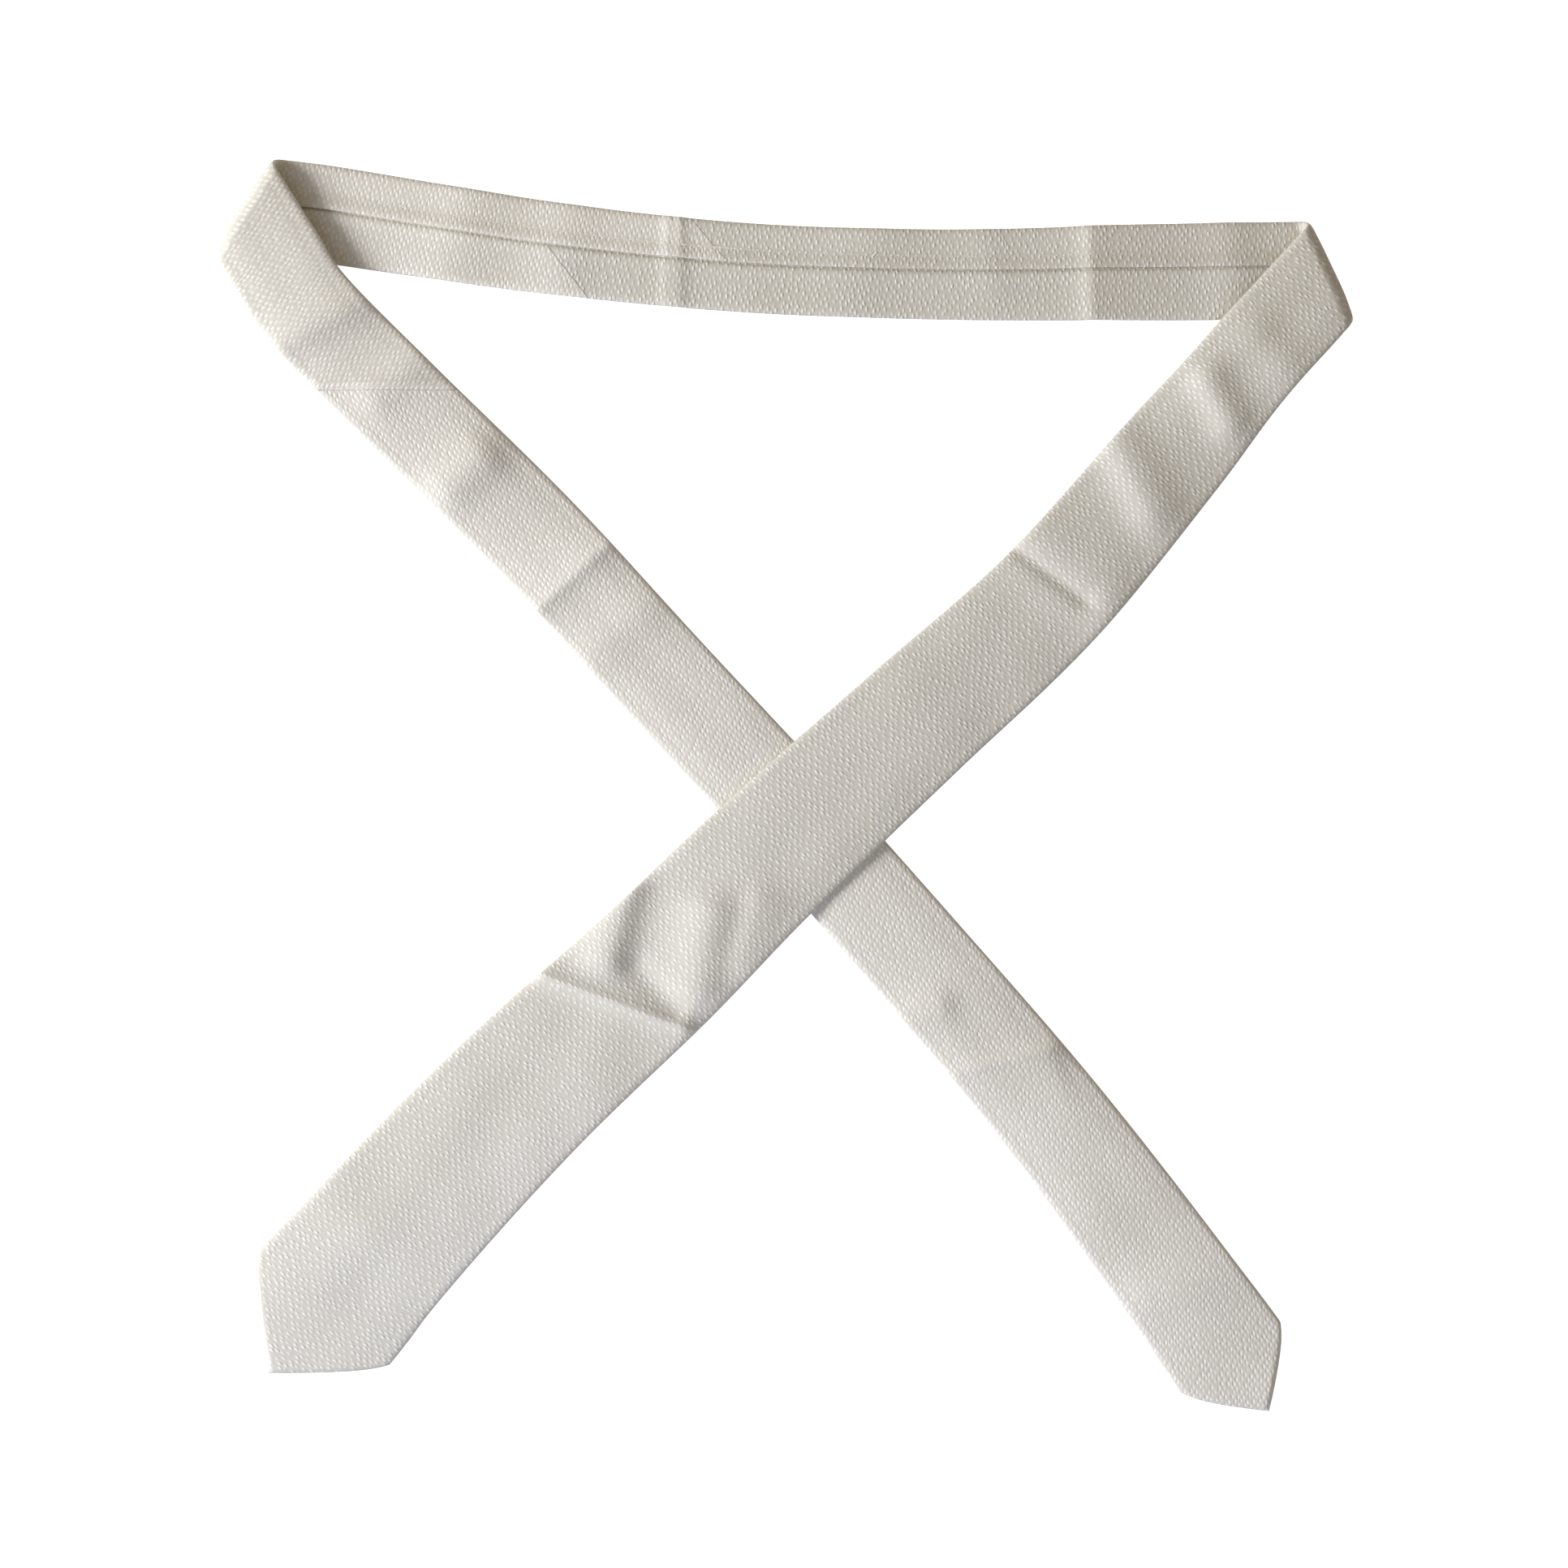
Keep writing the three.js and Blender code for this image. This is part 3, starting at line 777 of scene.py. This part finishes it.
def slab(name, st, s, v, low, high):
    # a flat layer between two levels of the strip, closed all round
    below, above = lay(st, s, v, low), lay(st, s, v, high)
    points = np.concatenate([below, above[:, ::-1]], 1)
    noteCut(name, s, v)
    return buildMesh(name, points, tubeFaces(*points.shape[:2]), bothSides(clothAlong(st, s), v))


def cord(name, st, s, v, n, radius, sides=8):
    # a thread laid through spots of the strip
    path = lay(st, s, v, n)
    heading = np.gradient(path, axis=0)
    heading /= np.maximum(np.linalg.norm(heading, axis=1), 1e-9)[:, None]
    aside = np.cross(heading, (0.02, 0.01, 1.0))
    aside /= np.linalg.norm(aside, axis=1)[:, None]
    upward = np.cross(aside, heading)
    t = np.linspace(0, 2 * math.pi, sides, endpoint=False)
    ring = aside[:, None] * np.cos(t)[None, :, None] + upward[:, None] * np.sin(t)[None, :, None]
    points = path[:, None] + ring * radius * mm
    gone = np.concatenate([[0], np.cumsum(np.linalg.norm(np.diff(path, axis=0), axis=1))]) / mm
    cloth = np.stack(np.broadcast_arrays(gone[:, None], (t * radius)[None, :], 0.0), -1)
    return buildMesh(name, points, tubeFaces(len(path), sides), cloth)


def joinInto(pieces):
    with bpy.context.temp_override(active_object=pieces[0], selected_editable_objects=pieces):
        bpy.ops.object.join()
    return pieces[0]


wrapLevel = strip["half"] - strip["cloth"] / 2


def hem(which):
    # the front cloth turned back along the slanted edges of the point
    p = points[which]
    s, v, edge = pointGrid(p["st"], p["slope"], 0.5, p["hem"])
    bow = np.sqrt(np.clip(1 - (1 - np.clip(edge / 2.2, 0, 1)) ** 2, 0, 1))
    return slab(which + "_hem", p["st"], s, v, bow * wrapLevel - 0.18, bow * wrapLevel + 0.16)


bladeStations = joined(legStart(blade, right, 100), legEnd(points["blade"], 100 + step))
bladeWrap = wrapCloth("blade_cloth_shell", blade, bladeStations, points["blade"])
bladeCloth = joinInto([bladeWrap, hem("blade")])
dress(bladeCloth, silk, ["blade_cloth", "blade_point_cloth"])
creaseBlend(bladeCloth, blade, creases["blade"])
declareSheet(bladeCloth, cuts["blade_hem"][2])

neckEndStations = legStart(tail, left, joins["tail"] - joins["gap"], joins["tail"])
neckOnTail = wrapCloth("neck_cloth_tail_end", tail, neckEndStations)
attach(dress(neckOnTail, neckSilk, ["neck_cloth_on_tail"]), "tail")
declareSheet(neckOnTail)
tailStations = legEnd(points["tail"], joins["tail"] + joins["gap"], joins["tail"])
tailWrap = wrapCloth("tail_cloth_shell", tail, tailStations, points["tail"])
tailCloth = joinInto([tailWrap, hem("tail")])
dress(tailCloth, tailSilk, ["tail_cloth", "tail_point_cloth"])
creaseBlend(tailCloth, tail, creases["tail"])
declareSheet(tailCloth, cuts["tail_hem"][2])
print("outer cloth made")


interlining = {"start": 4, "beforeTip": 5, "inset": 2.6, "front": -0.75, "back": 0.55}


def core(which, st, nodes, slope=0.0):
    k = interlining
    end = st["length"] - (k["beforeTip"] if slope else k["start"])
    s = evenly(k["start"], end, 2.0)[:, None]
    v = np.linspace(-1, 1, 21)[None, :] * (widthAt(st, s) / 2 - k["inset"])
    groove = strip["dip"] * np.exp(-((v - seamShift(st, s) + 1.8) / 3.2) ** 2)
    place = s - pointRun(pointed(slope, s, end), v, widthAt(st, s) / 2)
    piece = slab(which + "_wool_core", st, place, v, k["front"], k["back"] - groove)
    dress(piece, wool, nodes)
    declareSheet(piece)
    return piece


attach(core("neck", neck, ["neck_interlining"]), "neck")
bladeCore = core("blade", blade, ["blade_interlining", "blade_point_interlining"], points["blade"]["slope"])
creaseBlend(bladeCore, blade, creases["blade"])
tailCore = core("tail", tail, ["tail_interlining", "tail_point_interlining"], points["tail"]["slope"])
creaseBlend(tailCore, tail, creases["tail"])


tippingCut = {"tucked": 14, "half": 6, "spread": 0.6, "inset": 3.4, "level": 0.6, "thick": 0.18}


def tipping(which, body):
    # the lining fans out from under the bar tack towards the slanted edges
    p, k = points[which], tippingCut
    st, tack = p["st"], p["tack"]
    s = evenly(tack - k["tucked"], st["length"] - 5, 1.3)[:, None]
    widening = np.minimum(k["half"] + (s - tack) * k["spread"], widthAt(st, s) / 2 - k["inset"])
    v = np.linspace(-1, 1, 41)[None, :] * np.where(s < tack, k["half"], widening)
    chevron = p["slope"] * smooth((s - (st["length"] - pointShape["run"])) / (pointShape["run"] - 5))
    level = k["level"] + ripple(s + 0 * v, v, 11, 26) * 0.12
    place = s - pointRun(chevron, v, widthAt(st, s) / 2)
    piece = slab(which + "_tipping_lining", st, place, v, level, level + k["thick"])
    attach(dress(piece, lining, [which + "_tipping"]), body)
    declareSheet(piece)


tipping("blade", "blade_point")
tipping("tail", "tail_point")
print("linings made")

keeper = {
    "at": blade["length"] - 226, "half": 20.0, "wide": 4.5, "level": 2.45, "thick": 0.55,
    "passes": 6, "spacing": 1.44, "lean": 0.7, "thread": 0.22,
}


def addKeeper():
    st, k = blade, keeper
    v = np.linspace(-k["half"], k["half"], 61)[None, :]
    s = k["at"] + np.linspace(-k["wide"], k["wide"], 13)[:, None] + 0 * v
    v = v + 0 * s
    ends = smooth((k["half"] - np.abs(v)) / 5)
    low = strip["half"] + (k["level"] - strip["half"] - 0.1) * ends
    edge = 1 - 0.35 * (np.abs(s - k["at"]) / k["wide"]) ** 6
    piece = slab("keeper_band", st, s, v, low, low + k["thick"] * edge)
    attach(dress(piece, silk, ["keeper_loop"]), "blade")
    declareSheet(piece)
    for side, way in (("left", -1), ("right", 1)):
        passes = []
        t = np.linspace(0, 1, 9)
        for i in range(k["passes"]):
            at = k["at"] - k["wide"] + 0.9 + i * k["spacing"]
            lean = k["lean"] if i % 2 else -k["lean"]
            across = way * (k["half"] + 0.5 - 2 * t)
            level = strip["half"] + 0.55 + 0.35 * np.sin(math.pi * t)
            passes.append(cord("pass", st, at - lean * (t - 0.5), across, level, k["thread"]))
        tack = joinInto(passes)
        tack.name = "keeper_stitches_" + side
        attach(dress(tack, thread, ["keeper_tack_" + side]), "blade")


addKeeper()


running = {"start": 7, "beforeTack": 2, "stitch": 6.5, "radius": 0.17}


def slipStitch(which, st, end, nodes):
    # a running thread caught in the crevice under the upper wrap
    start = running["start"]
    s = evenly(start, end, 0.7)
    dive = np.clip(np.sin(2 * math.pi * (s - start) / running["stitch"]) * 2, -1, 1)
    v = seamShift(st, s) - 1.1 + 0.45 * dive
    n = strip["half"] - strip["dip"] + 0.3 + 0.1 * dive
    piece = cord(which + "_running_thread", st, s, v, n, running["radius"], 6)
    return dress(piece, thread, nodes)


def legSlip(which, st):
    nodes = [which + "_slip_stitch", which + "_point_slip_stitch"]
    return slipStitch(which, st, points[which]["tack"] - running["beforeTack"], nodes)


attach(slipStitch("neck", neck, neck["length"] - running["start"], ["neck_slip_stitch"]), "neck")
bladeSlip = legSlip("blade", blade)
creaseBlend(bladeSlip, blade, creases["blade"])
tailSlip = legSlip("tail", tail)
creaseBlend(tailSlip, tail, creases["tail"])


seamStitch = {"radius": 0.13, "sunk": 0.22, "sway": 0.06, "pitch": 2.6}


def joinThread(which, st, at, body):
    # the seam thread that shows in the groove between two joined lengths, across the front
    k = seamStitch
    half = widthAt(st, np.array([at]))[0] / 2 - 2
    v = np.linspace(-half, half, 90)
    s = at + v
    n = k["sunk"] - strip["half"] - crownAt(st, s) * (1 - (np.abs(v) / half) ** 3)
    n = n + k["sway"] * np.sin(v * k["pitch"])
    piece = cord(which + "_seam_thread", st, s, v, n, k["radius"], 6)
    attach(dress(piece, thread, [which + "_join_thread"]), body)


joinThread("blade", neck, joins["neck"], "neck")
joinThread("tail", tail, joins["tail"], "tail")

bar = {"passes": 9, "spacing": 0.4, "half": 4, "rise": 0.55, "radius": 0.21}


def barTack(which, body):
    p = points[which]
    passes = []
    t = np.linspace(0, 1, 11)
    for i in range(bar["passes"]):
        s = p["tack"] + (i - (bar["passes"] - 1) / 2) * bar["spacing"] + 0.1 * (i % 2)
        v = bar["half"] * (2 * t - 1)
        n = strip["half"] + strip["lap"] * 0.6 + bar["rise"] * np.sin(math.pi * t)
        passes.append(cord("pass", p["st"], s, v, n, bar["radius"]))
    tack = joinInto(passes)
    tack.name = which + "_bar_stitches"
    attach(dress(tack, thread, [which + "_bar_tack"]), body)


barTack("blade", "blade_point")
barTack("tail", "tail_point")
print("threads made")

studio = {                  # metres, degrees and watts
    "frameWidth": 0.5506, "cameraHeight": 1.25,
    "keyAzimuth": 178, "keyElevation": 27, "keyDistance": 2.2, "keySize": 0.8, "keyPower": 57,
    "lowAzimuth": 252, "lowElevation": 44, "lowDistance": 0.8, "lowSize": 0.6, "lowPower": 1.7,
    "keyColor": (0.95, 0.98, 1.02), "lowColor": (0.76, 0.94, 1.35),
    "fillColor": (1.0, 0.85, 0.63), "fillStrength": 0.26,
    "floorSize": 8, "floorLevel": -0.0004, "floorColor": (0.92, 0.92, 0.92, 1), "floorGlow": 0.9,
}


def addFloor():
    bpy.ops.mesh.primitive_plane_add(size=studio["floorSize"], location=(0, 0, studio["floorLevel"]))
    floor = bpy.context.object
    floor.name = "floor"
    material = bpy.data.materials.new("paleFloor")
    material.use_nodes = True
    nodes, link = material.node_tree.nodes, material.node_tree.links.new
    shader = nodes["Principled BSDF"]
    shader.inputs["Base Color"].default_value = studio["floorColor"]
    shader.inputs["Roughness"].default_value = 0.9
    shader.inputs["Emission Color"].default_value = (1, 1, 1, 1)
    path = nodes.new("ShaderNodeLightPath")
    glow = nodes.new("ShaderNodeMath")
    glow.operation = "MULTIPLY"
    glow.inputs[1].default_value = studio["floorGlow"]
    link(path.outputs["Is Camera Ray"], glow.inputs[0])
    link(glow.outputs[0], shader.inputs["Emission Strength"])
    floor.data.materials.append(material)


def addLight(name):
    azimuth, elevation = math.radians(studio[name + "Azimuth"]), math.radians(studio[name + "Elevation"])
    flat = math.cos(elevation)
    towards = Vector((flat * math.cos(azimuth), flat * math.sin(azimuth), math.sin(elevation)))
    data = bpy.data.lights.new(name, "AREA")
    data.size = studio[name + "Size"]
    data.energy = studio[name + "Power"]
    data.color = studio[name + "Color"]
    lamp = bpy.data.objects.new(name, data)
    lamp.location = towards * studio[name + "Distance"]
    lamp.rotation_euler = towards.to_track_quat("Z", "Y").to_euler()
    bpy.context.collection.objects.link(lamp)


def addWorld():
    world = bpy.data.worlds.new("studio")
    world.use_nodes = True
    back = world.node_tree.nodes["Background"]
    back.inputs["Color"].default_value = (*studio["fillColor"], 1)
    back.inputs["Strength"].default_value = studio["fillStrength"]
    bpy.context.scene.world = world


def addCamera():
    data = bpy.data.cameras.new("camera")
    camera = bpy.data.objects.new("camera", data)
    camera.location = (0, 0, studio["cameraHeight"])
    data.angle = 2 * math.atan(studio["frameWidth"] / 2 / studio["cameraHeight"])
    bpy.context.collection.objects.link(camera)
    bpy.context.scene.camera = camera


addFloor()
addLight("key")
addLight("low")
addWorld()
addCamera()
bpy.context.scene.view_settings.view_transform = "Standard"
print("stage set")
